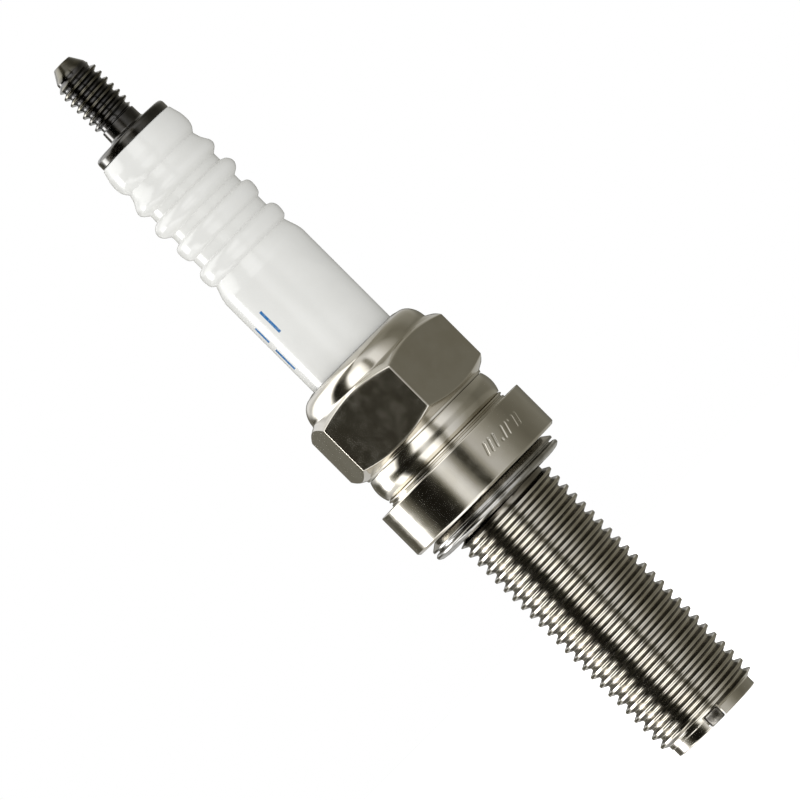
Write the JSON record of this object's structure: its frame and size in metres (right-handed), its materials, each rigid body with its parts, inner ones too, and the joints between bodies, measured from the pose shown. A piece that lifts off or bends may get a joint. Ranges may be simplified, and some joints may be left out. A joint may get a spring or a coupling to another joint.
{
  "type": "spark plug",
  "caption": "Spark plug with a long fine-threaded barrel, captive crush gasket, spanner hexagon, ribbed ceramic insulator and bare threaded terminal.",
  "frame": {"origin": "centre of the firing-end face, the lowest face of the threaded barrel", "axes": "+Z along the plug's axis, from the firing end towards the terminal; one flat of the spanner hexagon faces -Y"},
  "size_m": [0.0158, 0.0154, 0.0754],
  "materials": {
    "plated_steel": "gloss",
    "gasket_steel": "satin",
    "insulator_ceramic": "gloss",
    "terminal_steel": "gloss",
    "electrode_nickel": "satin",
    "precious_metal": "satin",
    "copper": "satin",
    "seal_glass": "satin",
    "resistor_carbon": "matte",
    "talc": "matte"
  },
  "bodies": {
    "plug_body": {"shell": "plated_steel", "insulator": "insulator_ceramic", "seat_packing": "gasket_steel", "packing_ring_lower": "gasket_steel", "packing_ring_upper": "gasket_steel", "talc_packing": "talc", "centre_electrode": "electrode_nickel", "centre_electrode_core": "copper", "centre_electrode_tip": "precious_metal", "ground_electrode": "electrode_nickel", "ground_electrode_tip": "precious_metal", "glass_seal_lower": "seal_glass", "resistor": "resistor_carbon", "glass_seal_upper": "seal_glass", "terminal_stud": "terminal_steel"},
    "gasket": {"gasket": "gasket_steel"}
  },
  "joints": [
    {"name": "gasket_spin", "type": "hinge", "parent": "plug_body", "child": "gasket", "pos_m": [0, 0, 0.02565], "axis": [0, 0, 1], "continuous": true}
  ]
}
